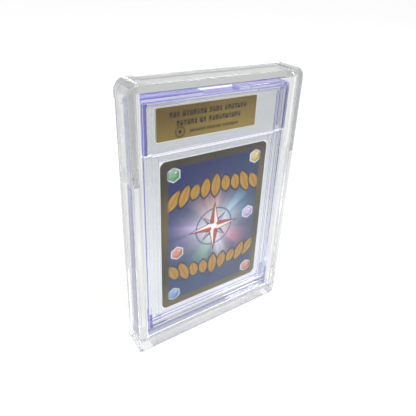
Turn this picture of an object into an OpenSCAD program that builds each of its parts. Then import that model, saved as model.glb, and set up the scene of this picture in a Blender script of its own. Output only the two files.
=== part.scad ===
// Graded card slab inside a clear two-part protective case.
// Millimetres, +Z up, -Y is the side that shows the card's back.
// Origin: middle of the footprint, on the plane the four feet stand on.

/* [Card] */
// Width of the card
card_w = 63; // [50:0.5:80]
// Height of the card
card_h = 88; // [70:0.5:125]
// Thickness of the card
card_t = 0.32; // [0.24:0.02:0.4]
// Corner radius of the card
card_r = 3; // [1:0.25:5]

/* [Sleeve] */
// Sleeve edge beyond the card at each side and below
sleeve_margin = 2.2; // [1:0.1:3]
// Sleeve edge above the card
sleeve_head = 3; // [1:0.1:3.4]
// Thickness of each sleeve film
film_t = 0.15; // [0.1:0.01:0.2]
// Play of the card between the films, each face
film_gap = 0.05; // [0.03:0.01:0.08]
// Play of the card in the sleeve, each edge
sleeve_play = 0.5; // [0.2:0.1:0.9]

/* [Slab] */
// Slab beyond the card at each side
side_band = 10; // [9.4:0.1:16]
// Slab below the card
foot_band = 14; // [12:0.1:18]
// Slab above the card, which holds the labels
head_band = 31; // [30.8:0.1:46]
// Thickness over the corner ridges
slab_d = 9.4; // [8:0.1:11]
// Thickness at the rim flange of the two shells together
flange_d = 6.2; // [4:0.1:7]
// How far the raised face is set in from the slab's sides
face_inset = 1; // [0.8:0.1:2]
// How far the raised face is set in from the slab's bottom
face_foot = 6.1; // [4:0.1:7]
// How far the raised face is set in from the slab's top
face_head = 1.4; // [1.3:0.1:3]
// Corner radius of the slab's outline
slab_r = 1.6; // [1:0.1:2.4]
// Width of the lowered part in the middle of the top edge
notch_w = 20; // [12:0.5:30]
// Depth of the lowered part in the middle of the top edge
notch_h = 1.2; // [0.6:0.1:1.3]
// Corner radius of the raised faces
face_r = 1.2; // [0.8:0.1:2]

/* [Corner ridges] */
// Width of the ridges at the corners of the raised faces
ridge_w = 1.3; // [0.9:0.1:1.8]
// Height of the ridges
ridge_h = 0.5; // [0.3:0.05:0.7]
// Length of the ridge along the top from each corner
ridge_top = 20; // [10:0.5:24]
// Length of the ridge down the side from each top corner
ridge_down = 23; // [12:0.5:28]
// Length of the ridge legs at the bottom corners
ridge_foot = 9.5; // [5:0.5:12]
// How far the ridges are set in from the raised face's edge
ridge_edge = 0.3; // [0.2:0.1:0.5]

/* [Wells] */
// Card well beyond the card at each side
well_side = 4.1; // [3.4:0.1:5]
// Card well below the card
well_foot = 2.8; // [2.5:0.1:3.4]
// Card well above the card
well_head = 4.5; // [3.6:0.1:5]
// Depth of each shell's well from the joining face
well_d = 0.8; // [0.6:0.05:1.1]
// Width of the shallow step around the card well
step_w = 2.6; // [1.5:0.1:3.4]
// Depth of the shallow step
step_d = 0.4; // [0.25:0.05:0.5]
// How far below the rib the step ends
step_stop = 1; // [0.5:0.1:2]
// Height of the rib between the card well and the label well
rib_h = 0.6; // [0.4:0.1:0.8]
// Height of the label well
label_well_h = 21.8; // [21:0.1:22]
// Gap left between the two shells' joining faces
join_gap = 0.12; // [0.08:0.02:0.2]
// How far the weld rib is set in from the slab's edge
weld_inset = 1.2; // [1:0.1:1.3]
// Width of the weld rib around the shells
weld_w = 0.9; // [0.7:0.1:1.1]
// Height of the weld rib above the rear shell's joining face
weld_h = 0.8; // [0.5:0.1:1.1]
// Clearance of the weld rib in its groove
weld_gap = 0.06; // [0.04:0.01:0.1]

/* [Labels] */
// Width of the labels
label_w = 54.8; // [40:0.2:62]
// Height of the labels
label_h = 15.6; // [12:0.1:16.6]
// Thickness of the labels
label_t = 0.3; // [0.2:0.02:0.4]
// How far the rear label sits left of the middle
label_shift = 5.9; // [0:0.1:6.4]
// How far the labels sit above the middle of their well
label_rise = 2.2; // [0:0.1:2.2]
// Corner radius of the labels
label_r = 0.5; // [0.3:0.1:1.5]
// Gap between a label and the shell it faces
label_gap = 0.06; // [0.04:0.01:0.1]

/* [Case] */
// Clearance around the slab in the case
slab_gap = 0.3; // [0.2:0.05:0.5]
// Clearance above the slab in the case
top_gap = 3.75; // [2:0.05:5]
// Air under the slab at rest
rest_gap = 0.1; // [0.05:0.05:0.2]
// Thickness of the case's side walls
side_wall = 5.5; // [4.4:0.1:7]
// Thickness of the cap's top wall
top_wall = 3.25; // [2.3:0.05:4]
// Thickness of the case's floor
floor_t = 5.9; // [2.6:0.1:7]
// Height of the front and rear rims at the bottom of the case
sill_h = 8.9; // [4.5:0.1:10]
// Thickness of the clear front and rear panels
panel_t = 1.5; // [1.2:0.1:2.2]
// How far the panels are set back from the rims
rim_step = 1; // [0.6:0.1:1.6]
// Width of the rims at the sides and the top
rim_w = 3.4; // [2.4:0.1:3.8]
// Width of the slope between rim and panel
slope_w = 0.8; // [0.4:0.1:1]
// Corner radius of the case
case_r = 5; // [4:0.1:7]
// Rounding of the case's long edges
edge_r = 0.9; // [0.5:0.1:1.2]
// Height of the ends of the cap's two legs above the ground
seam_z = 102.4; // [60:0.2:106]
// Gap between the cap and the body
seam_gap = 0.15; // [0.1:0.01:0.2]

/* [Corner pads] */
// How far the pads stand out at the sides and the top
pad_t = 0.5; // [0.3:0.05:0.9]
// How far the feet reach below the body
foot_h = 1.3; // [0.8:0.1:3]
// Rounding of the feet at the outer corners
foot_r = 3.5; // [2:0.1:5]
// Length of the pads from the corner
pad_len = 8.5; // [7.4:0.1:12]
// How far the pads are set in from the rims
pad_inset = 1.1; // [0.9:0.1:2]

/* [Tongues] */
// Wall left between the inside of a cap leg and its tongue
tongue_wall = 0.65; // [0.5:0.05:0.9]
// Thickness of the body's two tongues
tongue_t = 1.1; // [0.8:0.1:1.3]
// Depth of the tongues, front to rear
tongue_d = 5.6; // [4:0.1:8]
// Height of the tongues
tongue_h = 6; // [4:0.2:8]
// Clearance of the tongues in the cap's pockets
tongue_gap = 0.15; // [0.1:0.01:0.2]

/* [Hidden] */
$fn = 96;
e = 0.01;
floor_z = foot_h + floor_t;
slab_w = card_w + 2 * side_band;
slab_h = foot_band + card_h + head_band;
slab_z = floor_z + rest_gap;
slab_top = slab_z + slab_h;
card_z = slab_z + foot_band;
card_top = card_z + card_h;
cav_w = slab_w + 2 * slab_gap;
cav_d = slab_d + 2 * slab_gap;
cav_top = slab_top + top_gap;
main_w = cav_w + 2 * side_wall;
main_top = cav_top + top_wall;
case_d = cav_d + 2 * panel_t + 2 * rim_step;
face_y = slab_d / 2 - ridge_h;
well_w = card_w + 2 * well_side;
well_z = card_z - well_foot;
well_top = card_top + well_head;
label_well_z = well_top + rib_h;
label_z = label_well_z + (label_well_h - label_h) / 2 + label_rise;
cap_x = main_w / 2 - rim_w;
tongue_x = cap_x + seam_gap + tongue_wall;

// Flat outline in X and Z, from (x0, z0) to (x1, z1), corners of radius r
module outline(x0, z0, x1, z1, r) {
    translate([x0 + r, z0]) square([x1 - x0 - 2 * r, z1 - z0]);
    translate([x0, z0 + r]) square([x1 - x0, z1 - z0 - 2 * r]);
    for (x = [x0 + r, x1 - r], z = [z0 + r, z1 - r]) translate([x, z]) circle(r = r);
}

// The outline carried from y0 to y1
module slabby(x0, z0, x1, z1, r, y0, y1) {
    translate([0, y1, 0]) rotate([90, 0, 0]) linear_extrude(y1 - y0) outline(x0, z0, x1, z1, r);
}

// Box from one corner to the other
module box(a, b) {
    translate(a) cube([b[0] - a[0], b[1] - a[1], b[2] - a[2]]);
}

// Rounded block: straight lengths with rounded edges, and turned quarter corners
module soft_block(w, d, z0, z1, r, er) {
    module cut(a, b) {
        translate([-a / 2 + er, -b / 2]) square([a - 2 * er, b]);
        translate([-a / 2, -b / 2 + er]) square([a, b - 2 * er]);
        for (x = [-1, 1], y = [-1, 1]) translate([x * (a / 2 - er), y * (b / 2 - er)]) circle(r = er);
    }
    translate([0, 0, z0 + r]) linear_extrude(z1 - z0 - 2 * r) cut(w, d);
    translate([-w / 2 + r, 0, (z0 + z1) / 2]) rotate([90, 0, 90]) linear_extrude(w - 2 * r) cut(d, z1 - z0);
    for (sx = [-1, 1], top = [0, 1])
        translate([sx * (w / 2 - r), 0, top == 1 ? z1 - r : z0 + r])
            rotate([90, 0, 0]) rotate([0, 0, top == 1 ? (sx > 0 ? 0 : 90) : (sx > 0 ? -90 : 180)])
                rotate_extrude(angle = 90) intersection() {
                    cut(2 * r, d);
                    translate([0, -d]) square([r + 1, 2 * d]);
                }
}

// Sunk window between rim and panel, sloped on all four sides; side = 1 rear, -1 front
module window(side) {
    x = main_w / 2 - rim_w;
    z0 = foot_h + sill_h;
    z1 = main_top - rim_w;
    y = case_d / 2;
    intersection() {
        translate([0, 0, z0 - 20]) linear_extrude(z1 - z0 + 40)
            polygon([[-x - slope_w, side * (y + rim_step)], [x + slope_w, side * (y + rim_step)],
                     [x - slope_w, side * (y - rim_step)], [-x + slope_w, side * (y - rim_step)]]);
        translate([-x - 20, 0, 0]) rotate([90, 0, 90]) linear_extrude(2 * x + 40)
            polygon([[side * (y + rim_step), z0 - slope_w], [side * (y + rim_step), z1 + slope_w],
                     [side * (y - rim_step), z1 - slope_w], [side * (y - rim_step), z0 + slope_w]]);
    }
}

// Corner pads at the left and right, from z0 up to z1, with outer corners of radius r
module pads(z0, z1, r) {
    w = main_w / 2 + pad_t;
    y = case_d / 2 - pad_inset;
    for (s = [-1, 1]) intersection() {
        slabby(-w, 0, w, main_top + pad_t, r, -y, y);
        box([s > 0 ? w - pad_len : -w - 1, -case_d, z0], [s > 0 ? w + 1 : -w + pad_len, case_d, z1]);
    }
}

// Whole case as if in one piece, hollow
module case_blank() {
    difference() {
        union() {
            soft_block(main_w, case_d, foot_h, main_top, case_r, edge_r);
            pads(0, pad_len, foot_r);
            pads(main_top + pad_t - pad_len, main_top + pad_t, case_r + pad_t);
        }
        box([-cav_w / 2, -cav_d / 2, floor_z], [cav_w / 2, cav_d / 2, cav_top]);
        window(-1);
        window(1);
    }
}

// Room of the cap's two legs, from x outwards
module leg_room(x, z0) {
    for (s = [-1, 1])
        box([s > 0 ? x : -main_w, -case_d, z0], [s > 0 ? main_w : -x, case_d, main_top + 10]);
}

module tongues(g, z0, z1) {
    for (s = [-1, 1])
        box([s > 0 ? tongue_x - g : -tongue_x - tongue_t - g, -tongue_d / 2 - g, z0],
            [s > 0 ? tongue_x + tongue_t + g : -tongue_x + g, tongue_d / 2 + g, z1]);
}

module case_body() {
    color([0.86, 0.89, 0.90, 0.3]) {
        difference() {
            case_blank();
            leg_room(cap_x, seam_z);
            box([-main_w, -case_d, cav_top - seam_gap], [main_w, case_d, main_top + 10]);
        }
        tongues(0, seam_z - 1, seam_z + tongue_h);
    }
}

module case_cap() {
    color([0.84, 0.87, 0.89, 0.3]) difference() {
        case_blank();
        box([-main_w, -case_d, -10], [main_w, case_d, seam_z + seam_gap]);
        box([-cap_x - seam_gap, -case_d, 0], [cap_x + seam_gap, case_d, cav_top]);
        tongues(tongue_gap, seam_z - 1, seam_z + tongue_h + 2 * tongue_gap);
    }
}

// Closed loop of width w in X and Z, set in by i from the slab's edge
module loop(i, w, y0, y1) {
    x = slab_w / 2 - i;
    difference() {
        box([-x, y0, slab_z + i], [x, y1, slab_top - i - notch_h]);
        box([-x + w, y0 - 1, slab_z + i + w], [x - w, y1 + 1, slab_top - i - notch_h - w]);
    }
}

// L-shaped ridge at a corner of the raised face: side s, corner at height z, legs running away from it
module corner_ridge(s, z, up, leg_x, leg_z) {
    x = slab_w / 2 - face_inset - ridge_edge;
    z1 = z + up * ridge_edge;
    for (leg = [[leg_x, ridge_w], [ridge_w, leg_z]])
        box([s > 0 ? x - leg[0] : -x, -slab_d / 2, min(z1, z1 + up * leg[1])],
            [s > 0 ? x : -x + leg[0], -face_y + e, max(z1, z1 + up * leg[1])]);
}

// One shell in the rear position, without the weld rib; y = 0 is the joining plane
module shell_blank() {
    fx = slab_w / 2 - face_inset;
    fz0 = slab_z + face_foot;
    fz1 = slab_top - face_head;
    difference() {
        union() {
            slabby(-slab_w / 2, slab_z, slab_w / 2, slab_top, slab_r, -flange_d / 2, -join_gap / 2);
            slabby(-fx, fz0, fx, fz1, face_r, -face_y, -flange_d / 2 + e);
            for (s = [-1, 1]) {
                corner_ridge(s, fz1, -1, ridge_top, ridge_down);
                corner_ridge(s, fz0, 1, ridge_foot, ridge_foot);
            }
        }
        box([-notch_w / 2, -slab_d, slab_top - notch_h], [notch_w / 2, 1, slab_top + 1]);
        box([-well_w / 2, -well_d, well_z], [well_w / 2, 1, well_top]);
        box([-well_w / 2 - step_w, -step_d, well_z - step_w],
            [well_w / 2 + step_w, 1, well_top - step_stop]);
        box([-well_w / 2, -well_d, label_well_z], [well_w / 2, 1, label_well_z + label_well_h]);
    }
}

module rear_shell() {
    color([0.70, 0.70, 0.88, 0.35]) {
        shell_blank();
        loop(weld_inset, weld_w, -join_gap / 2 - e, weld_h - join_gap / 2);
    }
}

module front_shell() {
    color([0.72, 0.72, 0.90, 0.35]) difference() {
        rotate([0, 0, 180]) shell_blank();
        loop(weld_inset - weld_gap, weld_w + 2 * weld_gap, -1, weld_h - join_gap / 2 + weld_gap);
    }
}

module card_sleeve() {
    w = card_w / 2 + sleeve_margin;
    t = card_t / 2 + film_gap + film_t;
    g = card_t / 2 + film_gap;
    color([0.92, 0.93, 0.95, 0.3]) difference() {
        box([-w, -t, card_z - sleeve_margin], [w, t, card_top + sleeve_head]);
        box([-card_w / 2 - sleeve_play, -g, card_z - sleeve_play],
            [card_w / 2 + sleeve_play, g, card_top + sleeve_head + 1]);
    }
}

module card() {
    color([0.18, 0.22, 0.42])
        slabby(-card_w / 2, card_z, card_w / 2, card_top, card_r, -card_t / 2, card_t / 2);
}

module label_plate(side, shift) {
    y = well_d - label_gap;
    slabby(shift - label_w / 2, label_z, shift + label_w / 2, label_z + label_h, label_r,
           side < 0 ? -y : y - label_t, side < 0 ? -y + label_t : y);
}

module rear_label() {
    color([0.62, 0.50, 0.22]) label_plate(-1, -label_shift);
}

module front_label() {
    color([0.80, 0.78, 0.72]) label_plate(1, -label_shift);
}

case_body();
case_cap();
rear_shell();
front_shell();
card_sleeve();
card();
rear_label();
front_label();
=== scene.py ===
import math

import bpy
import numpy as np
from mathutils import Matrix, Vector


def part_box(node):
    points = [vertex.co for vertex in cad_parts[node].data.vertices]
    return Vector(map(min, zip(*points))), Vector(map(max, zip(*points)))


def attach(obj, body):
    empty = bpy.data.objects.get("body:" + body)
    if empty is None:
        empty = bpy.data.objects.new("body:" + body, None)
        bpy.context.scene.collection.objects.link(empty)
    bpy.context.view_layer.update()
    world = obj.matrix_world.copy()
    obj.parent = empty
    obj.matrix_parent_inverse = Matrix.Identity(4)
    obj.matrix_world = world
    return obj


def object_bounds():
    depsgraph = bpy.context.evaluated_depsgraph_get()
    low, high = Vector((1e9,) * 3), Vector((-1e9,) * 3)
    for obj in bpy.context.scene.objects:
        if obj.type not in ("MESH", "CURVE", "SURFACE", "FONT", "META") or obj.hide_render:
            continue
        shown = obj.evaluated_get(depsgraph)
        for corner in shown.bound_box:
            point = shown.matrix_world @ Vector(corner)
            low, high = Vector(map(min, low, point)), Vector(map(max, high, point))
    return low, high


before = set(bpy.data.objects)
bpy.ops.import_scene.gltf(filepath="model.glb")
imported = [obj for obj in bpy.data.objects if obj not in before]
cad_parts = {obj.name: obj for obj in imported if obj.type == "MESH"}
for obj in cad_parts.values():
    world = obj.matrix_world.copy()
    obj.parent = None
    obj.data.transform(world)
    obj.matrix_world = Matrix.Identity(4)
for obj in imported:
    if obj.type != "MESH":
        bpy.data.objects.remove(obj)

mm = 0.001
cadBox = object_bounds()
print("frame loaded, box in mm:", [round((b - a) / mm, 1) for a, b in zip(*cadBox)])


def linearColour(hexText):
    # sRGB to linear: a channel under 0.04045 is divided by 12.92,
    # any other is ((c + 0.055) / 1.055) to the power 2.4
    parts = [int(hexText[i:i + 2], 16) / 255 for i in (1, 3, 5)]
    return tuple(c / 12.92 if c <= 0.04045 else ((c + 0.055) / 1.055) ** 2.4 for c in parts) + (1.0,)


def addNode(tree, kind, inputs=None, **choices):
    # one node: choices are its own properties, and each input takes a value, a hex colour
    # or another node's output
    made = tree.nodes.new(kind)
    for name, value in choices.items():
        setattr(made, name, value)
    for key, value in (inputs or {}).items():
        if isinstance(value, bpy.types.NodeSocket):
            tree.links.new(value, made.inputs[key])
        elif isinstance(value, str):
            made.inputs[key].default_value = linearColour(value)
        else:
            made.inputs[key].default_value = value
    return made


def newMaterial(name):
    # an empty material, and the coordinates that its patterns read
    made = bpy.data.materials.new(name)
    made.use_nodes = True
    made.node_tree.nodes.clear()
    return made, made.node_tree, addNode(made.node_tree, "ShaderNodeTexCoord").outputs


def finishMaterial(tree, inputs):
    surface = addNode(tree, "ShaderNodeBsdfPrincipled", inputs)
    addNode(tree, "ShaderNodeOutputMaterial", {"Surface": surface.outputs["BSDF"]})


def giveMaterial(material, *nodeNames):
    for nodeName in nodeNames:
        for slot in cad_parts[nodeName].material_slots:
            slot.material = material


def zoneShares(tree, rows):
    # a share of 1 or 0 for each named zone: where a measured value lies over or under a limit
    tests = {"over": "GREATER_THAN", "under": "LESS_THAN"}
    return {name: addNode(tree, "ShaderNodeMath", {0: value, 1: limit}, operation=tests[side]).outputs[0]
            for name, value, side, limit in rows}


def overlap(tree, *shares):
    # where all the shares hold: their product
    result = shares[0]
    for share in shares[1:]:
        result = addNode(tree, "ShaderNodeMath", {0: result, 1: share}, operation="MULTIPLY").outputs[0]
    return result


def mirrored(tree, vector):
    # the X, Y and Z of a place or a facing without their signs, so that opposite sides count alike
    unsigned = addNode(tree, "ShaderNodeVectorMath", {0: vector}, operation="ABSOLUTE")
    return addNode(tree, "ShaderNodeSeparateXYZ", {"Vector": unsigned.outputs["Vector"]}).outputs


def tintStack(tree, tint, *layers):
    # tints laid over one another, the last on top: each layer is a colour and the share by which it covers
    for share, colour in layers:
        tint = addNode(tree, "ShaderNodeMix", {0: share, 6: tint, 7: colour}, data_type="RGBA").outputs[2]
    return tint


def heightShade(tree, up, look):
    # painted shade: a tint that goes evenly from one colour at one height to another colour at a second
    # height
    share = addNode(tree, "ShaderNodeMapRange",
                    {"Value": up, "From Min": look["tintFrom"], "From Max": look["tintTo"]})
    return tintStack(tree, look["lowShadeTint"], (share.outputs["Result"], look["highShadeTint"]))


def boxShare(tree, place, low, high, fade):
    # 1 within a box in X and Z, falling evenly to 0 over the fade outside it
    centre = ((low[0] + high[0]) / 2, 0.0, (low[1] + high[1]) / 2)
    offset = addNode(tree, "ShaderNodeVectorMath", {0: place, 1: centre}, operation="SUBTRACT")
    away = mirrored(tree, offset.outputs["Vector"])
    falls = []
    for axis, half in (("X", (high[0] - low[0]) / 2), ("Z", (high[1] - low[1]) / 2)):
        fall = addNode(tree, "ShaderNodeMapRange",
                       {"Value": away[axis], "From Min": half, "From Max": half + fade,
                        "To Min": 1.0, "To Max": 0.0})
        falls.append(fall.outputs["Result"])
    return overlap(tree, *falls)


# Outer case: clear cast acrylic, polished and handled
caseLook = {
    "ior": 1.49,
    "glow": 0.006,            # painted glow: a trace of emission for the daylight that acrylic gathers and guides along
    "glare": "#404040",       # share of a plain surface's glare, low as on museum acrylic
    "smooth": 0.012,          # roughness of a polished face
    "worn": 0.05,             # roughness of the rub marks
    "frost": 0.45,            # roughness of the sawn underside and the feet
    "seamFrost": 0.08,        # roughness of the seam's two sides, nearly polished
    "wearSize": 3.0,          # mm, patches of fine rub marks
    "wearFrom": 0.55,         # share of the noise at which a rub mark starts
    "wearTo": 0.8,
    "clear": "#ffffff",
    "lowShadeTint": "#d6d8d8",     # painted shade: the rims are tinted grey, greyer higher up
    "highShadeTint": "#c6c8c7",
    "tintFrom": 0.07,         # m, heights between which the tint changes
    "tintTo": 0.145,
    "legReflectionTint": "#acafae",     # painted reflection: the side rims go greyer towards the top, where they mirror the room
    "legFrom": 0.07,
    "legTo": 0.12,
    "sideShadeTint": "#bcbebe",    # painted shade on the case's own outer side faces
    "jointTint": "#fbfbfb",   # the tongues and their pockets, left nearly clear of the painted shade
    "footTint": "#d9d9dd",
    "underShadowTint": "#6f6d96",   # painted shadow of the gap under the case, on the sawn underside near its edges, seen through the bottom rim
    "underMiddle": "#ffffff",
    "stripShadowTint": "#9f9dbd",   # painted shadow of the gap under the case, on the lowest part of the rim
    "stripHeight": 0.9,       # mm
    "windowPast": (1.0, 2.5),  # mm, how far the clear window reaches past the slab's sides and past its top
    "windowFoot": 3.5,        # mm over the slab's foot, where the clear window starts
    "windowFade": 0.5,        # mm
    "footHeight": 1.3,        # mm, height of the underside
    "reach": 0.05,            # mm, how far a zone goes past a face, so that the face is well inside it
    "underEdge": 4.6,         # mm from the case's middle, where the darker edge of the underside starts
    "jointDepth": 3.2,        # mm from the case's middle, the thickness that the tongues take up
    "jointSpan": (-0.35, 6.35),  # mm, heights of the joint over the cap's lowest edge
    "seamIn": 3.83,           # mm, how far in from the case's sides the seam's upright faces stand
    "seamReach": 0.15,        # mm
    "wallPast": -0.5,         # mm past the seam, where the side walls start
    "outerPast": 2.5,         # mm past the seam, where only the outer side faces are left
    "sideways": 0.9,          # how squarely a face looks along X to count as an upright side face
}


def caseAcrylic():
    # Clear acrylic: white highlights, painted grey shade in its rims that deepens higher up and on the outer
    # sides, painted reflection greying the side rims towards the top, painted shadow of the gap under the
    # case at its bottom, a faint painted glow, faint rub marks in its gloss, sawn faces frosted
    look = caseLook
    material, tree, point = newMaterial("clearAcrylicPaintedShade")
    place = point["Object"]
    spot = mirrored(tree, place)
    wide, deep, up = spot["X"], spot["Y"], spot["Z"]
    seamPlace = cadBox[1][0] - look["seamIn"] * mm
    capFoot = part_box("case_cap")[0].z
    zone = zoneShares(tree, (
        ("under", up, "under", (look["footHeight"] + look["reach"]) * mm),
        ("foot", up, "under", (look["footHeight"] - look["reach"]) * mm),
        ("strip", up, "under", (look["footHeight"] + look["stripHeight"]) * mm),
        ("underEdge", deep, "over", look["underEdge"] * mm),
        ("jointDepth", deep, "under", look["jointDepth"] * mm),
        ("jointFrom", up, "over", capFoot + look["jointSpan"][0] * mm),
        ("jointTo", up, "under", capFoot + look["jointSpan"][1] * mm),
        ("sideways", mirrored(tree, point["Normal"])["X"], "over", look["sideways"]),
        ("seamFrom", wide, "over", seamPlace - look["seamReach"] * mm),
        ("seamTo", wide, "under", seamPlace + look["seamReach"] * mm),
        ("wall", wide, "over", seamPlace + look["wallPast"] * mm),
        ("outer", wide, "over", seamPlace + look["outerPast"] * mm)))
    slabLow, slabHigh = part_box("rear_shell")
    pastSide, pastTop = look["windowPast"]
    halfWindow = slabHigh.x + pastSide * mm
    window = boxShare(tree, place, (-halfWindow, slabLow.z + look["windowFoot"] * mm),
                      (halfWindow, slabHigh.z + pastTop * mm), look["windowFade"] * mm)
    seam = overlap(tree, zone["sideways"], zone["seamFrom"], zone["seamTo"])
    legHeight = addNode(tree, "ShaderNodeMapRange",
                        {"Value": up, "From Min": look["legFrom"], "From Max": look["legTo"]})
    # painted shade, reflection and shadow laid over the clear case: grey by height, greyer side rims and
    # outer faces, shadow at the bottom
    tint = tintStack(
        tree, heightShade(tree, up, look),
        (window, look["clear"]),
        (zone["strip"], look["stripShadowTint"]),
        (zone["under"], tintStack(tree, look["underMiddle"], (zone["underEdge"], look["underShadowTint"]))),
        (zone["foot"], look["footTint"]),
        (overlap(tree, zone["wall"], legHeight.outputs["Result"]), look["legReflectionTint"]),
        (overlap(tree, zone["jointDepth"], zone["jointFrom"], zone["jointTo"]), look["jointTint"]),
        (overlap(tree, zone["sideways"], zone["outer"]), look["sideShadeTint"]),
        (seam, look["clear"]))
    rub = addNode(tree, "ShaderNodeTexNoise",
                  {"Vector": place, "Scale": 1 / (look["wearSize"] * mm), "Detail": 4.0})
    roughness = addNode(tree, "ShaderNodeMapRange",
                        {"Value": rub.outputs["Fac"], "From Min": look["wearFrom"],
                         "From Max": look["wearTo"], "To Min": look["smooth"],
                         "To Max": look["worn"]}).outputs["Result"]
    for frosted in (overlap(tree, seam, look["seamFrost"]), overlap(tree, zone["under"], look["frost"])):
        rougher = addNode(tree, "ShaderNodeMath", {0: roughness, 1: frosted}, operation="MAXIMUM")
        roughness = rougher.outputs[0]
    # the emission is a painted glow
    finishMaterial(tree, {"Base Color": tint, "Roughness": roughness, "IOR": look["ior"],
                          "Transmission Weight": 1.0, "Specular Tint": look["glare"],
                          "Emission Color": look["clear"], "Emission Strength": look["glow"]})
    return material


giveMaterial(caseAcrylic(), "case_body", "case_cap")
print("case acrylic done")

# Slab shells: clear styrene with a violet brightener that shows at the edges
shellLook = {
    "ior": 1.56,
    "roughness": 0.02,
    "glow": 0.006,            # painted glow: a trace of emission, as in the case
    "glowColour": "#c8c8ff",
    "glare": "#404040",
    "clear": "#ffffff",
    "lowShadeTint": "#e2e6ea",     # painted shade: the wells' bare floors are tinted grey, greyer higher up
    "highShadeTint": "#babdbf",
    "tintFrom": 0.04,         # m, heights between which the tint changes
    "tintTo": 0.12,
    "wellsIn": (9.0, 1.5),    # mm over the slab's foot and under its top, the ends of the wells' tint
    "innerDepth": 1.0,        # mm from the slab's middle, within which the wells' floors lie
    "footTint": "#d9dbe6",
    "footBand": 6.2,          # mm, the flange below the raised face, where the eye looks through both shells
    "headTint": "#dcdcea",
    "headBand": 3.0,          # mm, the flange and the raised face above the label well
    "edgeTint": "#7d7bd8",    # cut edges and slopes
    "edgeRight": "#aeadd8",   # the violet is paler on the right side
    "edgeFacing": (0.8, 0.3), # how squarely a face looks along Y where the violet starts and is full
    "gateReach": 0.03,        # m either side of the middle, over which the violet goes paler
    "flankTint": "#c6c7e0",   # the slab's own outer sides are paler than its inner edges
    "flankFrom": 41.0,        # mm from the middle
    "ribTint": "#eeeef6",     # the rib between the wells is too thin to gather colour and is kept clear of the painted shade
    "ribSpan": (1.3, 2.3),    # mm over the sleeve's top
    "ridgeTint": "#5453b4",   # the raised ridge and the upward faces of the raised face
    "ridgeDepth": 4.45,       # mm from the slab's middle
    "ridgeFrom": 38.5,        # mm from the middle
    "raisedDepth": 4.0,       # mm from the slab's middle
    "squarely": 0.7,          # how squarely a face looks along X or Z to count as an edge of that side
    "fade": 0.1,              # mm
    "paperFade": 0.3,         # mm
}


def shellStyrene():
    # Clear styrene: nearly colourless face on, painted grey shade over the wells' bare floors that deepens
    # higher up, a faint painted violet glow, violet-blue where the eye meets a cut edge or a ridge
    look = shellLook
    material, tree, point = newMaterial("clearStyreneVioletEdgePaintedShade")
    place, normal = point["Object"], point["Normal"]
    split = addNode(tree, "ShaderNodeSeparateXYZ", {"Vector": place})
    facing = addNode(tree, "ShaderNodeSeparateXYZ", {"Vector": normal})
    spot, squareness = mirrored(tree, place), mirrored(tree, normal)
    wide, deep, up = spot["X"], spot["Y"], spot["Z"]
    low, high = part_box("rear_shell")
    zone = zoneShares(tree, (
        ("inner", deep, "under", look["innerDepth"] * mm),
        ("foot", up, "under", low.z + look["footBand"] * mm),
        ("head", up, "over", high.z - look["headBand"] * mm),
        ("flankFacing", squareness["X"], "over", look["squarely"]),
        ("flankPlace", wide, "over", look["flankFrom"] * mm),
        ("raised", deep, "over", look["raisedDepth"] * mm),
        ("upward", facing.outputs["Z"], "over", look["squarely"]),
        ("ridgeDepth", deep, "over", look["ridgeDepth"] * mm),
        ("ridgePlace", wide, "over", look["ridgeFrom"] * mm)))
    wells = boxShare(tree, place, (low.x, low.z + look["wellsIn"][0] * mm),
                     (high.x, high.z - look["wellsIn"][1] * mm), look["fade"] * mm)
    papers = []
    for nodeName in ("card", "rear_label"):
        start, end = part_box(nodeName)
        papers.append(boxShare(tree, place, (start.x, start.z), (end.x, end.z), look["paperFade"] * mm))
    covered = addNode(tree, "ShaderNodeMath", {0: papers[0], 1: papers[1]}, operation="MAXIMUM").outputs[0]
    bare = addNode(tree, "ShaderNodeMath", {0: 1.0, 1: covered}, operation="SUBTRACT").outputs[0]
    edge = addNode(tree, "ShaderNodeMapRange",
                   {"Value": squareness["Y"], "From Min": look["edgeFacing"][0],
                    "From Max": look["edgeFacing"][1]}).outputs["Result"]
    rightSide = addNode(tree, "ShaderNodeMapRange",
                        {"Value": split.outputs["X"], "From Min": -look["gateReach"],
                         "From Max": look["gateReach"]}).outputs["Result"]
    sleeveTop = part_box("card_sleeve")[1].z
    rib = boxShare(tree, place, (low.x, sleeveTop + look["ribSpan"][0] * mm),
                   (high.x, sleeveTop + look["ribSpan"][1] * mm), look["fade"] * mm)
    tint = tintStack(
        tree, look["clear"],
        # painted shade over the wells' bare floors
        (overlap(tree, zone["inner"], wells, bare), heightShade(tree, up, look)),
        (zone["foot"], look["footTint"]),
        (zone["head"], look["headTint"]),
        (edge, tintStack(tree, look["edgeTint"], (rightSide, look["edgeRight"]))),
        (overlap(tree, zone["flankFacing"], zone["flankPlace"]), look["flankTint"]),
        (rib, look["ribTint"]),
        (overlap(tree, zone["raised"], zone["upward"]), look["ridgeTint"]),
        (overlap(tree, zone["ridgeDepth"], zone["ridgePlace"]),
         tintStack(tree, look["ridgeTint"], (rightSide, look["edgeRight"]))))
    # the violet emission is a painted glow
    finishMaterial(tree, {"Base Color": tint, "Roughness": look["roughness"], "IOR": look["ior"],
                          "Transmission Weight": 1.0, "Specular Tint": look["glare"],
                          "Emission Color": look["glowColour"], "Emission Strength": look["glow"]})
    return material


giveMaterial(shellStyrene(), "rear_shell", "front_shell")
print("shell styrene done")

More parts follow.
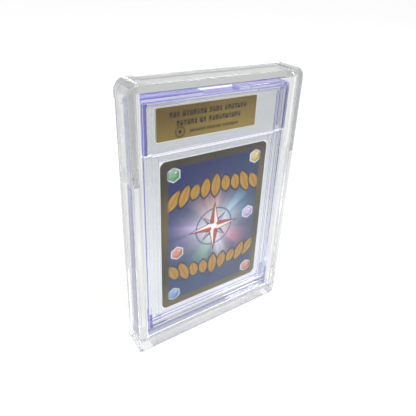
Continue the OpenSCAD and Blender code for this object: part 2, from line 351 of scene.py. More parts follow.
# Card core, label stock, studio paper and the velvet of the studio's black flag
paperLook = {
    "cardCore": {"light": "#dedbd2", "dark": "#c9c5ba", "grain": 0.6, "roughness": 0.75},
    "goldLabelStock": {"light": "#d8cfae", "dark": "#bfb28a", "grain": 0.5, "roughness": 0.6},
    "silverLabelStock": {"light": "#dcdcda", "dark": "#c4c4c2", "grain": 0.5, "roughness": 0.6},
    "studioPaper": {"light": "#e1e1e1", "dark": "#dfdfdf", "grain": 40.0, "roughness": 0.9, "glow": 0.26},
    "blackVelvet": {"light": "#181818", "dark": "#101010", "grain": 2.0, "roughness": 1.0},
}


def paperStock(name):
    # Matt pressed fibre: cloudy between two near tones, the cloud size given in mm
    look = paperLook[name]
    material, tree, point = newMaterial(name)
    cloud = addNode(tree, "ShaderNodeTexNoise",
                    {"Vector": point["Object"], "Scale": 1 / (look["grain"] * mm), "Detail": 5.0})
    finishMaterial(tree, {"Base Color": tintStack(tree, look["dark"], (cloud.outputs["Fac"], look["light"])),
                          "Roughness": look["roughness"], "Emission Color": "#ffffff",
                          "Emission Strength": look.get("glow", 0.0)})
    return material


# Inner sleeve
sleeveLook = {
    "ior": 1.12,              # low, because the film clings to the card and hardly bends light on its own
    "tint": "#fcfcfe",
    "glare": "#404040",
    "smooth": 0.02,           # roughness where the film is clear and where it is rubbed
    "rubbed": 0.07,
    "rubSize": 8.0,           # mm
    "rubSpan": (0.35, 0.65),  # shares of the noise between which the film goes from clear to rubbed
}


def sleeveFilm():
    # Thin clear film that clings to the card: nearly unseen, a little duller in cloudy patches
    look = sleeveLook
    material, tree, point = newMaterial("clearSleeveFilm")
    cloud = addNode(tree, "ShaderNodeTexNoise",
                    {"Vector": point["Object"], "Scale": 1 / (look["rubSize"] * mm), "Detail": 2.0})
    gloss = addNode(tree, "ShaderNodeMapRange",
                    {"Value": cloud.outputs["Fac"], "From Min": look["rubSpan"][0],
                     "From Max": look["rubSpan"][1], "To Min": look["smooth"], "To Max": look["rubbed"]})
    finishMaterial(tree, {"Base Color": look["tint"], "Roughness": gloss.outputs["Result"],
                          "IOR": look["ior"], "Transmission Weight": 1.0, "Specular Tint": look["glare"]})
    return material


giveMaterial(sleeveFilm(), "card_sleeve")
giveMaterial(paperStock("cardCore"), "card")
giveMaterial(paperStock("goldLabelStock"), "rear_label")
giveMaterial(paperStock("silverLabelStock"), "front_label")
for name in ("case_body", "case_cap", "rear_shell", "front_shell", "card_sleeve"):
    # clear plastic this thin dims a lamp by a few per cent only, so lamp light goes straight through it
    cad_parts[name].visible_shadow = False
    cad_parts[name].visible_diffuse = False
print("sleeve and paper done")

# Printed sheets: a thin closed sheet whose top carries colour and foil at every point
sheetLook = {
    "ink": 0.006,             # mm, thickness of the printed layer
    "cardSpacing": 0.3,       # mm between grid points
    "cardCorner": 3.0,        # mm
    "labelSpacing": 0.15,
    "labelCorner": 0.5,
}


def sheetGrid(size, radius, spacing):
    # An even grid over a rounded rectangle. In each corner square a point (a, b) of 0..1 goes to
    # (a * sqrt(1 - b*b/2), b * sqrt(1 - a*a/2)), which bends the square corner into a quarter disc.
    width, height = size
    columns, rows = int(round(width / spacing)) + 1, int(round(height / spacing)) + 1
    u, v = np.meshgrid(np.linspace(-width / 2, width / 2, columns),
                       np.linspace(-height / 2, height / 2, rows))
    a = np.clip((np.abs(u) - (width / 2 - radius)) / radius, 0, 1)
    b = np.clip((np.abs(v) - (height / 2 - radius)) / radius, 0, 1)
    u = u + np.sign(u) * radius * (a * np.sqrt(1 - b * b / 2) - a)
    v = v + np.sign(v) * radius * (b * np.sqrt(1 - a * a / 2) - b)
    return u, v


def addPiece(name, points, faces, material):
    # a mesh object from arrays, at the origin with its place in its mesh
    mesh = bpy.data.meshes.new(name)
    mesh.from_pydata(np.asarray(points).tolist(), [], faces)
    mesh.materials.append(material)
    piece = bpy.data.objects.new(name, mesh)
    bpy.context.scene.collection.objects.link(piece)
    return piece


def printedSheet(name, nodeName, side, radius, spacing, art, material, slot):
    # The grid is laid at the sheet's top height, its rim is carried straight back to the base plane and
    # closed there by one flat face. side is -1 for a sheet seen from -Y and 1 for one seen from +Y.
    low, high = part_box(nodeName)
    base, centre = max(abs(low.y), abs(high.y)), ((low.x + high.x) / 2, (low.z + high.z) / 2)
    u, v = sheetGrid((high.x - low.x, high.z - low.z), radius * mm, spacing * mm)
    rows, columns = u.shape
    ink, foil, lift = art(u / mm, v / mm)
    face = side * (base + (sheetLook["ink"] + lift) * mm)
    top = np.stack([centre[0] - side * u, face, centre[1] + v], -1).reshape(-1, 3)
    index = np.arange(rows * columns).reshape(rows, columns)
    quads = np.stack([index[:-1, :-1], index[:-1, 1:], index[1:, 1:], index[1:, :-1]], -1).reshape(-1, 4)
    rim = np.concatenate([index[0, :-1], index[:-1, -1], index[-1, :0:-1], index[:0:-1, 0]])
    under = top[rim].copy()
    under[:, 1] = side * base
    back = len(top) + np.arange(len(rim))
    walls = np.stack([rim, back, np.roll(back, -1), np.roll(rim, -1)], -1)
    faces = quads.tolist() + walls.tolist() + [back[::-1].tolist()]
    piece = addPiece(name, np.concatenate([top, under]), faces, material)
    colours = np.ones((len(top) + len(rim), 4), np.float32)
    colours[:, :3] = np.concatenate([ink.reshape(-1, 3), ink.reshape(-1, 3)[rim]])
    shine = np.concatenate([foil.reshape(-1), np.zeros(len(rim))]).astype(np.float32)
    piece.data.attributes.new("ink", "FLOAT_COLOR", "POINT").data.foreach_set("color", colours.reshape(-1))
    piece.data.attributes.new("foil", "FLOAT", "POINT").data.foreach_set("value", shine)
    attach(piece, "slab")


def tone(hexText):
    return np.array(linearColour(hexText)[:3])


def between(first, second, share):
    # an even change from the first tone to the second one
    return tone(first) + (tone(second) - tone(first)) * share[..., None]


def inside(distance, soft=0.3):
    # 1 inside a shape, 0 outside it, and an even change over the soft width across its outline
    return np.clip(0.5 - distance / soft, 0, 1)


def paint(ink, colour, share):
    # a tone laid over the ink as far as its share
    shade = tone(colour) if isinstance(colour, str) else colour
    return ink + (shade - ink) * np.clip(share, 0, 1)[..., None]


def bell(distance, width):
    # 1 at no distance, falling away as exp(-(distance / width) squared)
    return np.exp(-(distance / width) ** 2)


def turned(u, v, centre, degrees):
    # the place of a point as seen from a shape at centre that is turned by degrees
    c, s = math.cos(math.radians(degrees)), math.sin(math.radians(degrees))
    return (u - centre[0]) * c + (v - centre[1]) * s, (v - centre[1]) * c - (u - centre[0]) * s


def leafShape(u, v, length, width):
    # distance to a leaf: the overlap of two equal circles that meet at its two tips
    bend = (length ** 2 + width ** 2) / (4 * width)
    return np.maximum(np.hypot(u - (bend - width / 2), v), np.hypot(u + (bend - width / 2), v)) - bend


def starShape(u, v, reach, waist, points):
    # distance to a pointed star: each half point is bounded by the straight line from its tip to its waist
    step = math.pi / points
    folded = np.abs((np.arctan2(u, v) + step) % (2 * step) - step)
    rho = np.hypot(u, v)
    alongX, alongY = waist * math.cos(step) - reach, waist * math.sin(step)
    sideStep = (rho * np.cos(folded) - reach) * alongY - rho * np.sin(folded) * alongX
    return sideStep / math.hypot(alongX, alongY)


def halfTurn(u, v, points):
    # which half of its star point each place lies in: 1 on one side of the point's ridge, 0 on the other
    step = math.pi / points
    return (((np.arctan2(u, v) + step) % (2 * step)) > step).astype(float)


def boxShape(u, v, halfWidth, halfHeight, radius):
    # distance to a box with rounded corners
    x, y = np.abs(u) - halfWidth + radius, np.abs(v) - halfHeight + radius
    return np.hypot(np.maximum(x, 0), np.maximum(y, 0)) + np.minimum(np.maximum(x, y), 0) - radius


# Card back, sizes in mm and angles in degrees
cardLow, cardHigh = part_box("card")
cardHalf = ((cardHigh.x - cardLow.x) / 2 / mm, (cardHigh.z - cardLow.z) / 2 / mm)
backPrint = {
    "border": 3.3,
    "borderFade": 1.5,
    "borderFoil": 0.15,
    "bronze": ("#35311f", "#5e5130"),              # shade and light of the border
    "bronzeWave": (9.0, 7.0, 0.8),                 # scale of its clouds up and across, and their sway
    "blue": "#0f2056",
    "blueLow": ("#103460", 70),                    # the field's tint below, and the height of the change
    "blueRight": ("#163e55", 40, 0.8),             # its tint at the right, where it is full, and how strong
    "rayBase": 0.62,
    "rays": ((9, 40, 0.2), (17, 100, 0.12), (31, 10, 0.08)),   # rays in a turn, their shift, how strong
    "lobes": ((100, 26, "#e0a27c"), (35, 22, "#8fd2e6"), (-38, 20, "#dc6f92"), (-112, 24, "#5fae78"),
              (172, 24, "#b59ad0"), (-75, 14, "#e8e0ea")),     # heading, spread and tint of each light
    "lobeReach": (12, 11, 0.72),                   # distance from the middle, width, how strong
    "glow": ("#f2eef4", 12.5, 0.75),
    "haze": ("#dfe6f4", 20, 12, 0.06),
    "ring": ("#3a4478", 11.2, 0.45, 0.8),          # tint, radius, half its line's width, how strong
    "outline": "#0d153a",
    "stars": ((8.6, 3.6, 8, "#c9b8c4", "#5b5f8c"), (13.6, 3.4, 4, "#f0dcd4", "#a8483a")),
    "starOutline": (0.5, 0.85),                    # width and strength
    "starLift": (0.012, 1.2),                      # height of the raised varnish, and the width of its slope
    "hub": ("#e9e6ee", 1.9),
}
leafPrint = {
    "gold": "#b98f34",
    "vein": ("#7c5a1a", 0.22, 0.8),                # tint, half its width, how strong
    "outline": (0.85, 0.5),                        # width, and the width of its soft edge
    "count": 9,
    "first": -24.6,                                # place of the first leaf
    "pitch": 6.15,
    "arch": (21.6, 3.4, 1.5 / 25),                 # base height of a row, its rise, its turn in a mm
    "lean": (-38, 34, 9.5, 0.75),                  # lean of odd and even leaves, its change, the share kept
    "length": (11.0, 2.6, 1.9, 0.6),               # middle length, its swing, and the swing's turn and shift
    "width": 5.4,
    "foil": 0.8,
    "lift": (0.015, 0.8),
}
gemPrint = {
    "gems": ((-24.5, 36.3, "#3f8f5a"), (24.5, 36.3, "#c8b04a"), (-24.5, -36.3, "#2f88c8"),
             (24.5, -36.3, "#c86a48"), (-22.5, -9.5, "#c8643c"), (22.5, 2.5, "#b0a6d0")),
    "radius": 3.1,
    "rim": ("#dfe3ea", 0.45),
    "facet": (0.55, 0.25),                         # share of its own tint on a facet, and the light added
    "facetLight": (0.55, 0.45, -130),              # middle and swing of that light, and its heading
    "table": (0.8, 0.12, 1.5),                     # its tint and light on the flat top, and its inset
    "glint": ("#f4f6fa", 1.1, 1.3, 1.6, 0.55, 0.6, 0.8),  # tint, place, flatness, radius, softness, strength
    "lift": (0.018, 2.0),
}


def backField(u, v):
    # Blue field, paler and greener towards the right, with soft rays of light round its middle
    look = backPrint
    rho, angle = np.hypot(u, v), np.degrees(np.arctan2(v, u))
    tint, height = look["blueLow"]
    ink = paint(np.zeros(u.shape + (3,)) + tone(look["blue"]), tint, 0.5 - v / height)
    tint, full, strength = look["blueRight"]
    ink = paint(ink, tint, np.clip(u / full, 0, 1) * strength)
    rays = look["rayBase"] + sum(strength * np.sin(np.radians(angle * count + shift))
                                 for count, shift, strength in look["rays"])
    reach, width, strength = look["lobeReach"]
    for heading, spread, tint in look["lobes"]:
        off = (angle - heading + 180) % 360 - 180
        ink = paint(ink, tint, strength * rays * bell(off, spread) * bell(rho - reach, width))
    tint, width, strength = look["glow"]
    ink = paint(ink, tint, strength * bell(rho, width))
    tint, reach, width, strength = look["haze"]
    ink = paint(ink, tint, strength * rays * bell(rho - reach, width))
    tint, radius, line, strength = look["ring"]
    return paint(ink, tint, strength * inside(np.abs(rho - radius) - line))


def addStars(u, v, ink, foil, lift):
    # An eight-point star behind a four-point one, each point with a lit and a shaded half, and a round hub
    look = backPrint
    margin, strength = look["starOutline"]
    rise, slope = look["starLift"]
    for reach, waist, points, lit, shaded in look["stars"]:
        star = starShape(u, v, reach, waist, points)
        half = halfTurn(u, v, points)
        ink = paint(ink, look["outline"], strength * inside(star - margin))
        ink = paint(ink, lit, inside(star) * half)
        ink = paint(ink, shaded, inside(star) * (1 - half))
        lift = np.maximum(lift, rise * inside(star, slope))
    tint, radius = look["hub"]
    return paint(ink, tint, inside(np.hypot(u, v) - radius)), foil, lift


def addLeaves(u, v, ink, foil, lift):
    # Two arched rows of gold leaves. The lower row is the upper one turned half round.
    look = leafPrint
    veinTint, vein, veinStrength = look["vein"]
    margin, soft = look["outline"]
    height, rise, bend = look["arch"]
    oddLean, evenLean, leanStep, leanKept = look["lean"]
    middleLength, swing, turn, shift = look["length"]
    for half in (1, -1):
        for k in range(look["count"]):
            place = look["first"] + look["pitch"] * k
            lean = oddLean + leanStep * k if k % 2 else evenLean - leanStep * (look["count"] - 1 - k)
            centre = (place, height + rise * math.cos(place * bend))
            p, q = turned(half * u, half * v, centre, lean * leanKept)
            leaf = leafShape(p, q, middleLength + swing * math.sin(turn * k + shift), look["width"])
            rim = inside(leaf - margin, soft)
            ink = paint(ink, backPrint["outline"], rim)
            ink = paint(ink, look["gold"], inside(leaf))
            ink = paint(ink, veinTint, inside(leaf) * inside(np.abs(p) - vein) * veinStrength)
            foil = np.maximum(foil * (1 - rim), inside(leaf) * look["foil"])
            lift = np.maximum(lift, look["lift"][0] * inside(leaf, look["lift"][1]))
    return ink, foil, lift


def addGems(u, v, ink, foil, lift):
    # Six cut gems: a hexagon with six facets, each as bright as it faces the light, a flat top and a glint
    look = gemPrint
    dim, swing, heading = look["facetLight"]
    for across, level, tint in look["gems"]:
        x, y = u - across, v - level
        gem = np.max([np.abs(turned(x, y, (0, 0), 60 * k)[0]) for k in range(3)], axis=0) - look["radius"]
        facet = np.floor((np.degrees(np.arctan2(y, x)) + 30) / 60) % 6
        bright = dim + swing * np.cos(np.radians(facet * 60 + heading))
        ink = paint(ink, look["rim"][0], inside(gem - look["rim"][1]))
        ink = paint(ink, tone(tint) * look["facet"][0] + look["facet"][1] * bright[..., None], inside(gem))
        ink = paint(ink, tone(tint) * look["table"][0] + look["table"][1], inside(gem + look["table"][2]))
        white, glintX, glintY, flatness, radius, soft, strength = look["glint"]
        glint = np.hypot(x - glintX, (y - glintY) * flatness) - radius
        ink = paint(ink, white, strength * inside(glint, soft))
        lift = np.maximum(lift, look["lift"][0] * inside(gem, look["lift"][1]))
    return ink, foil, lift


def backArt(u, v):
    # The card's back: rays, a compass star, leaves and gems on blue, within a clouded bronze border
    look = backPrint
    layers = backField(u, v), np.zeros(u.shape), np.zeros(u.shape)
    for addLayer in (addStars, addLeaves, addGems):
        layers = addLayer(u, v, *layers)
    ink, foil, lift = layers
    edge = -boxShape(u, v, *cardHalf, sheetLook["cardCorner"])
    border = np.clip(1 - (edge - look["border"]) / look["borderFade"], 0, 1)
    upWave, acrossWave, sway = look["bronzeWave"]
    cloud = 0.5 + 0.5 * np.sin(v / upWave + sway * np.sin(u / acrossWave))
    ink = paint(ink, between(*look["bronze"], cloud), border)
    return ink, foil * (1 - border) + look["borderFoil"] * border, lift


# Card front, sizes in mm; a box is (across, level, half width, half height, corner)
frontPrint = {
    "silver": ("#b9c2cf", "#dfe4ea", 6),           # two tones and the scale of the sheen between them
    "frameFoil": (0.55, 0.15, 0.2),                # how strong, its gap to the panel, softness of its rim
    "panel": (0, 0, 28.6, 41.1, 1.6),
    "panelTint": "#dcd6bd",
    "panelLift": (0.012, 0.8),
    "picture": (0, 15.5, 25.6, 17.5, 0.8),
    "pictureRim": ("#6e6238", 0.7),
    "sky": ("#f0c684", "#4f86c0", 6, 26),          # low and high tone, start and height of the change
    "sun": (9, 17, 3.6, 9),                        # place, radius, reach of its glow
    "sunTint": ("#fff0c0", "#fffbe6"),
    "hills": ((12, 4.6, 8.5, 0.4, "#7f8fb4"), (7.5, 3.4, 6.2, 2.2, "#5b7f86"),
              (3, 2.4, 4.8, 4.1, "#3f6a52")),      # level, swing, stretch, shift and tint of each ridge
    "secondWave": (0.35, 2.7),                     # its share of the swing, and how much quicker it runs
    "bars": ((0, 37.4, 25.6, 2.3, 1.1, "#8a7b46"), (0, 37.4, 24.9, 1.7, 0.8, "#efe9d4"),
             (-12, 37.4, 10.5, 0.7, 0.5, "#4a4636")),
    "lines": ((24, 0), (21, -3), (23, -1), (12, -12), (24, 0), (18, -6), (9, -15)),   # half length, across
    "lineBox": (-9, 4.2, 0.55, 0.4),               # level of the first line, pitch, half height, corner
    "lineTint": ("#5d5747", 0.85),
}


def placedBox(u, v, box):
    # distance to a box given with its place
    across, level, halfWidth, halfHeight, corner = box
    return boxShape(u - across, v - level, halfWidth, halfHeight, corner)


def landscape(u, v):
    # Evening sky with a sun, and three ridges: each is a wave with a quicker, smaller wave on it
    look = frontPrint
    lowSky, highSky, start, height = look["sky"]
    ink = between(lowSky, highSky, np.clip((v - start) / height, 0, 1))
    across, level, radius, reach = look["sun"]
    sun = np.hypot(u - across, v - level)
    ink = paint(ink, look["sunTint"][0], bell(sun, reach))
    ink = paint(ink, look["sunTint"][1], inside(sun - radius))
    share, quicker = look["secondWave"]
    for base, swing, stretch, shift, tint in look["hills"]:
        wave = np.sin(u / stretch + shift) + share * np.sin(u / stretch * quicker + shift)
        ink = paint(ink, tint, inside(v - base - swing * wave))
    return ink


def frontArt(u, v):
    # The card's front: silver frame, a picture of hills and a sun, a title bar and plain grey text lines
    look = frontPrint
    edge = -boxShape(u, v, *cardHalf, sheetLook["cardCorner"])
    darkSilver, paleSilver, scale = look["silver"]
    panel, picture = placedBox(u, v, look["panel"]), placedBox(u, v, look["picture"])
    ink = paint(np.zeros(u.shape + (3,)) + tone(darkSilver), paleSilver, 0.5 + 0.5 * np.sin((u + v) / scale))
    ink = paint(ink, look["panelTint"], inside(panel))
    ink = paint(ink, look["pictureRim"][0], inside(picture - look["pictureRim"][1]))
    ink = paint(ink, landscape(u, v), inside(picture))
    for *box, tint in look["bars"]:
        ink = paint(ink, tint, inside(placedBox(u, v, box)))
    level, pitch, halfHeight, corner = look["lineBox"]
    tint, strength = look["lineTint"]
    for k, (reach, across) in enumerate(look["lines"]):
        line = placedBox(u, v, (across, level - pitch * k, reach, halfHeight, corner))
        ink = paint(ink, tint, strength * inside(line))
    strength, overPanel, soft = look["frameFoil"]
    foil = strength * inside(overPanel - panel) * inside(-edge, soft)
    return ink, foil, look["panelLift"][0] * inside(panel, look["panelLift"][1])


# Labels, sizes in mm; a row is (level, height, start, blocks in each group, pitch)
labelPrint = {
    "gold": ("#665220", "#907c38"),                # deep and pale tone of the foil
    "silver": ("#8b9098", "#c6c9ce"),
    "mark": "#070604",
    "goldRows": ((3.9, 2.5, -21.2, (3, 7, 4, 7), 1.86), (-0.3, 2.5, -17.6, (6, 2, 10), 1.86),
                 (-4.7, 1.5, -10.6, (7, 7, 8), 1.18)),
    "goldSeal": (-15.6, -4.5, 2.4),                # place and radius
    "silverRows": ((3.4, 2.0, -15.5, (6, 5, 4), 1.5), (0.2, 1.2, -15.5, (5, 8, 3), 1.0),
                   (-2.6, 1.2, -15.5, (4, 4, 7), 1.0)),
    "silverSeal": (-21.0, 0.0, 3.4),
    "silverLines": ((0, 0, 26.2, 6.6, 0.6, 0.12), (18.5, 0, 5.6, 4.6, 0.8, 0.2)),   # box, half line width
    "silverStar": (18.5, 3.4, 1.5, 8),             # across, reach, waist, points
    "silverMark": 0.9,                             # how strong the marks are
    "goldSweep": (0.42, 0.22, 11.0, 0.5, 16),      # middle, swing, its scale and shift, height of the fall
    "silverSweep": (13.0, 1.0, 8.0),               # scale of the swing across, its shift, its scale upwards
    "block": (0.70, 0.16, 2.3, 1.7, 0.18),         # width in pitches, its swing and two turns, corner
    "slot": (0.2, 0.12, 0.24, 0.08),               # its place, half width and half height as shares, corner
    "groupGap": 0.6,                               # pitches between two groups
    "sealRings": ((1.0, 0.2), (0.8, 0.06)),        # share of the seal's radius, half the line's width
    "sealStar": (0.62, 0.26, 5),                   # reach and waist as shares, points
    "soft": 0.16,
    "foil": 0.9,
    "lift": 0.006,
}


def markRows(u, v, rows):
    # Rows of small upright blocks in groups, each block with a slot in it. They stand where words would
    # and spell nothing. A block's width swings a little from one to the next.
    soft = labelPrint["soft"]
    fill, swing, blockTurn, groupTurn, corner = labelPrint["block"]
    slotPlace, slotWide, slotTall, slotCorner = labelPrint["slot"]
    share = np.zeros(u.shape)
    for level, height, start, groups, pitch in rows:
        across = start
        for group, count in enumerate(groups):
            for k in range(count):
                wide = pitch * (fill + swing * math.sin(blockTurn * k + groupTurn * group))
                slotLevel = height * (slotPlace if (k + group) % 2 else -slotPlace)
                x, y = u - across - pitch / 2, v - level
                block = boxShape(x, y, wide / 2, height / 2, corner)
                slot = boxShape(x, y - slotLevel, wide * slotWide, height * slotTall, slotCorner)
                share = np.maximum(share, inside(block, soft) * (1 - inside(slot, soft)))
                across += pitch
            across += pitch * labelPrint["groupGap"]
    return share


def sealShare(u, v, seal):
    # a round seal: two rings and a five-point star
    across, level, size = seal
    x, y = u - across, v - level
    reach, waist, points = labelPrint["sealStar"]
    shapes = [np.abs(np.hypot(x, y) - size * ring) - line for ring, line in labelPrint["sealRings"]]
    shapes.append(starShape(x, y, size * reach, size * waist, points))
    return np.max([inside(shape, labelPrint["soft"]) for shape in shapes], axis=0)


def goldLabelArt(u, v):
    # Brushed gold foil whose depth swings along the label and deepens upwards, with dark marks and a seal
    look = labelPrint
    depth, swing, scale, shift, fall = look["goldSweep"]
    sweep = np.clip(depth + swing * np.sin(u / scale + shift) - v / fall, 0, 1)
    share = np.maximum(markRows(u, v, look["goldRows"]), sealShare(u, v, look["goldSeal"]))
    ink = paint(between(*look["gold"], sweep), look["mark"], share)
    return ink, look["foil"] * (1 - share), look["lift"] * share


def silverLabelArt(u, v):
    # Brushed silver foil with a fine frame, a framed star at the right, marks and a seal
    look = labelPrint
    scale, shift, upScale = look["silverSweep"]
    sweep = 0.5 + 0.5 * np.sin(u / scale + shift) * np.cos(v / upScale)
    across, reach, waist, points = look["silverStar"]
    share = np.maximum(markRows(u, v, look["silverRows"]), sealShare(u, v, look["silverSeal"]))
    share = np.maximum(share, inside(starShape(u - across, v, reach, waist, points), look["soft"]))
    for *box, line in look["silverLines"]:
        share = np.maximum(share, inside(np.abs(placedBox(u, v, box)) - line, look["soft"]))
    ink = paint(between(*look["silver"], sweep), look["mark"], look["silverMark"] * share)
    return ink, look["foil"] * (1 - share), look["lift"] * share


# Printed surfaces: how the ink's strength and gloss follow the grain, and its shine where it is not foil
printLook = {
    "coatedInkOnCardStock": {"stretch": (0.5, 0.5, 0.5), "detail": 3.0, "strength": (0.88, 1.08),
                             "glossSpan": (0.0, 1.0), "gloss": (0.32, 0.42), "shine": 0.12},
    "brushedFoilLabel": {"stretch": (9.0, 9.0, 0.25), "detail": 5.0, "strength": (0.8, 1.15),
                         "glossSpan": (0.3, 0.7), "gloss": (0.3, 0.5), "shine": 0.1},
}
strengthSpan = (0.3, 0.7)     # shares of the grain between which the ink's strength changes


def printedSurface(name):
    # Glossy coated card stock has ink under a clear varnish with a fine dot grain of 0.5 mm. A foil label
    # has streaks about 9 mm long and 0.25 mm apart. Both mirror softly where the print is foil and are
    # dull elsewhere.
    look = printLook[name]
    material, tree, point = newMaterial(name)
    stretch = addNode(tree, "ShaderNodeMapping",
                      {"Vector": point["Object"], "Scale": [1 / (size * mm) for size in look["stretch"]]})
    noise = addNode(tree, "ShaderNodeTexNoise",
                    {"Vector": stretch.outputs["Vector"], "Scale": 1.0, "Detail": look["detail"]})
    grain = noise.outputs["Fac"]
    ink = addNode(tree, "ShaderNodeAttribute", attribute_name="ink")
    foil = addNode(tree, "ShaderNodeAttribute", attribute_name="foil")
    strength = addNode(tree, "ShaderNodeMapRange",
                       {"Value": grain, "From Min": strengthSpan[0], "From Max": strengthSpan[1],
                        "To Min": look["strength"][0], "To Max": look["strength"][1]})
    gloss = addNode(tree, "ShaderNodeMapRange",
                    {"Value": grain, "From Min": look["glossSpan"][0], "From Max": look["glossSpan"][1],
                     "To Min": look["gloss"][0], "To Max": look["gloss"][1]})
    shade = addNode(tree, "ShaderNodeHueSaturation",
                    {"Color": ink.outputs["Color"], "Value": strength.outputs["Result"]})
    finishMaterial(tree, {"Base Color": shade.outputs["Color"], "Metallic": foil.outputs["Fac"],
                          "Roughness": gloss.outputs["Result"], "Specular IOR Level": look["shine"]})
    return material


cardStock, labelFoil = printedSurface("coatedInkOnCardStock"), printedSurface("brushedFoilLabel")
cardSheet = (sheetLook["cardCorner"], sheetLook["cardSpacing"])
labelSheet = (sheetLook["labelCorner"], sheetLook["labelSpacing"])
printedSheet("card_back_print", "card", -1, *cardSheet, backArt, cardStock, "card_stock")
printedSheet("card_front_print", "card", 1, *cardSheet, frontArt, cardStock, "card_stock")
printedSheet("rear_label_print", "rear_label", -1, *labelSheet, goldLabelArt, labelFoil, "gold_label")
printedSheet("front_label_print", "front_label", 1, *labelSheet, silverLabelArt, labelFoil, "silver_label")
print("card and label prints done")

# Well stop: a frosted bead moulded along the top of the card well; a painted glow makes it shine as a white
# highlight line
beadLook = {
    "length": 70.8,           # mm
    "radius": 0.24,           # mm
    "away": 0.95,             # mm over the sleeve's top
    "deep": 0.5,              # mm from the slab's middle
    "grain": 0.8,             # mm
    "grainSpan": (0.35, 0.65),  # shares of the noise between which it goes from shade to light
    "sides": 16,
    "rings": 8,               # rings in each domed end
    "shade": "#dfe2e6",
    "light": "#ffffff",
    "roughness": 0.4,
    "glint": 0.25,            # painted highlight: an emission that makes the bead glow white
}


def frostedBead():
    # Frosted styrene: white with a fine pale grey grain, and a painted glow for its highlight
    look = beadLook
    material, tree, point = newMaterial("frostedBeadPaintedGlow")
    grain = addNode(tree, "ShaderNodeTexNoise",
                    {"Vector": point["Object"], "Scale": 1 / (look["grain"] * mm), "Detail": 3.0})
    share = addNode(tree, "ShaderNodeMapRange",
                    {"Value": grain.outputs["Fac"], "From Min": look["grainSpan"][0],
                     "From Max": look["grainSpan"][1]}).outputs["Result"]
    finishMaterial(tree, {"Base Color": tintStack(tree, look["shade"], (share, look["light"])),
                          "Roughness": look["roughness"], "Emission Color": look["light"],
                          "Emission Strength": look["glint"]})
    return material


def wellStopBead():
    # A round bar with domed ends: a ring's radius is r * sqrt(1 - t*t), with t = 0 along the straight part
    # and t going to 1 over the last radius at both ends
    look = beadLook
    half, r = look["length"] / 2 * mm, look["radius"] * mm
    dome = np.linspace(0, 1, look["rings"] + 1)[:-1]
    t = np.concatenate([-dome[::-1], dome])
    along = np.repeat((-1, 1), look["rings"]) * (half - r) + t * r
    turn = np.linspace(0, 2 * np.pi, look["sides"], endpoint=False)
    ring = r * np.sqrt(1 - t * t)
    height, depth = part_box("card_sleeve")[1].z + look["away"] * mm, -look["deep"] * mm
    points = np.stack([np.repeat(along, len(turn)), depth + np.outer(ring, np.cos(turn)).ravel(),
                       height + np.outer(ring, np.sin(turn)).ravel()], -1)
    index = np.arange(len(points)).reshape(len(t), len(turn))
    around = np.roll(index, -1, axis=1)
    quads = np.stack([index[:-1], index[1:], around[1:], around[:-1]], -1).reshape(-1, 4).tolist()
    ends = [index[0].tolist(), index[-1, ::-1].tolist()]
    piece = addPiece("well_stop_bead", points, quads + ends, frostedBead())
    piece.data.polygons.foreach_set("use_smooth", np.ones(len(piece.data.polygons), bool))
    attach(piece, "slab")


wellStopBead()
print("well stop done")

# Floor, and a black flag: it lies in front of the case out of the camera's sight and takes the white
# floor's mirror image off the clear front, so that the card keeps its contrast
stageLook = {
    "floor": ((-4.0, -4.0), (4.0, 4.0), 0.0),      # m, two opposite corners and the height
    "blackFlag": ((0.04, -0.75), (0.75, -0.10), 0.002),
}


def stagePlane(name, paper):
    # a flat square-cornered plane that is not part of the object
    (x0, y0), (x1, y1), z = stageLook[name]
    corners = [(x0, y0, z), (x1, y0, z), (x1, y1, z), (x0, y1, z)]
    plane = addPiece(name, corners, [(0, 1, 2, 3)], paperStock(paper))
    return plane


stagePlane("floor", "studioPaper")
flag = stagePlane("blackFlag", "blackVelvet")
flag.visible_camera = False
flag.visible_shadow = False
flag.visible_diffuse = False
flag.visible_transmission = False
print("floor and flag done")

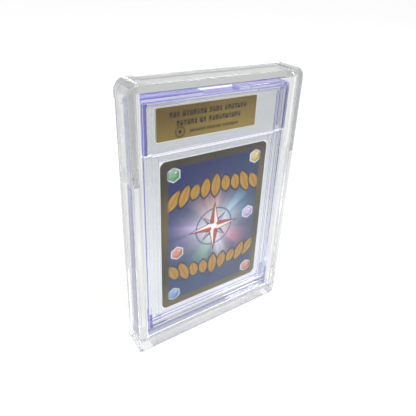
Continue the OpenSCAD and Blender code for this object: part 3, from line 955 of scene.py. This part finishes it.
# Light: an even white room, a little dimmer overhead, and two softboxes
studioLook = {
    "horizon": 1.0,
    "zenith": 0.9,
    "softboxes": {"leftSoftbox": ((-0.7, -0.5, 0.9), (0.3, 0.5), 2.0),   # place and size in m, watts
                  "rightSoftbox": ((0.8, -0.9, 0.9), (0.5, 0.3), 5.0)},
    "aim": (0, 0, 0.07),
}
world = bpy.data.worlds.new("studioAir")
world.use_nodes = True
world.node_tree.nodes.clear()
sky = addNode(world.node_tree, "ShaderNodeTexCoord")
split = addNode(world.node_tree, "ShaderNodeSeparateXYZ", {"Vector": sky.outputs["Generated"]})
level = addNode(world.node_tree, "ShaderNodeMapRange",
                {"Value": split.outputs["Z"], "From Min": 0.0, "From Max": 0.9,
                 "To Min": studioLook["horizon"], "To Max": studioLook["zenith"]})
air = addNode(world.node_tree, "ShaderNodeBackground",
              {"Color": "#ffffff", "Strength": level.outputs["Result"]})
addNode(world.node_tree, "ShaderNodeOutputWorld", {"Surface": air.outputs["Background"]})
bpy.context.scene.world = world
for name, (place, size, watts) in studioLook["softboxes"].items():
    data = bpy.data.lights.new(name, "AREA")
    data.shape = "RECTANGLE"
    data.size, data.size_y = size
    data.energy = watts
    lamp = bpy.data.objects.new(name, data)
    bpy.context.scene.collection.objects.link(lamp)
    lamp.location = place
    lamp.rotation_euler = (Vector(studioLook["aim"]) - Vector(place)).to_track_quat("-Z", "Y").to_euler()
print("light done")

# Camera, lengths in m, the lens in mm and the roll in degrees
cameraLook = {
    "place": (-0.1123, -0.1612, 0.1929),
    "aim": (0.0124, 0.0, 0.0853),
    "roll": 4.23,
    "lens": 37.04,
    "shift": (-0.0577, -0.0526),
    "clip": (0.005, 50),
    "bounces": 96,            # light that acrylic guides along a panel is thrown back and forth many times
}
cameraData = bpy.data.cameras.new("studioCamera")
cameraData.lens = cameraLook["lens"]
cameraData.sensor_width = 36.0
cameraData.clip_start, cameraData.clip_end = cameraLook["clip"]
cameraData.shift_x, cameraData.shift_y = cameraLook["shift"]
camera = bpy.data.objects.new("studioCamera", cameraData)
scene = bpy.context.scene
scene.collection.objects.link(camera)
heading = Vector(cameraLook["aim"]) - Vector(cameraLook["place"])
facing = heading.to_track_quat("-Z", "Y").to_matrix().to_4x4()
roll = Matrix.Rotation(math.radians(cameraLook["roll"]), 4, "Z")
camera.matrix_world = Matrix.Translation(cameraLook["place"]) @ facing @ roll
scene.camera = camera
scene.view_settings.view_transform = "Standard"
scene.cycles.max_bounces = cameraLook["bounces"]
scene.cycles.transmission_bounces = cameraLook["bounces"]
scene.cycles.glossy_bounces = cameraLook["bounces"]
scene.cycles.transparent_max_bounces = 16
print("camera done")
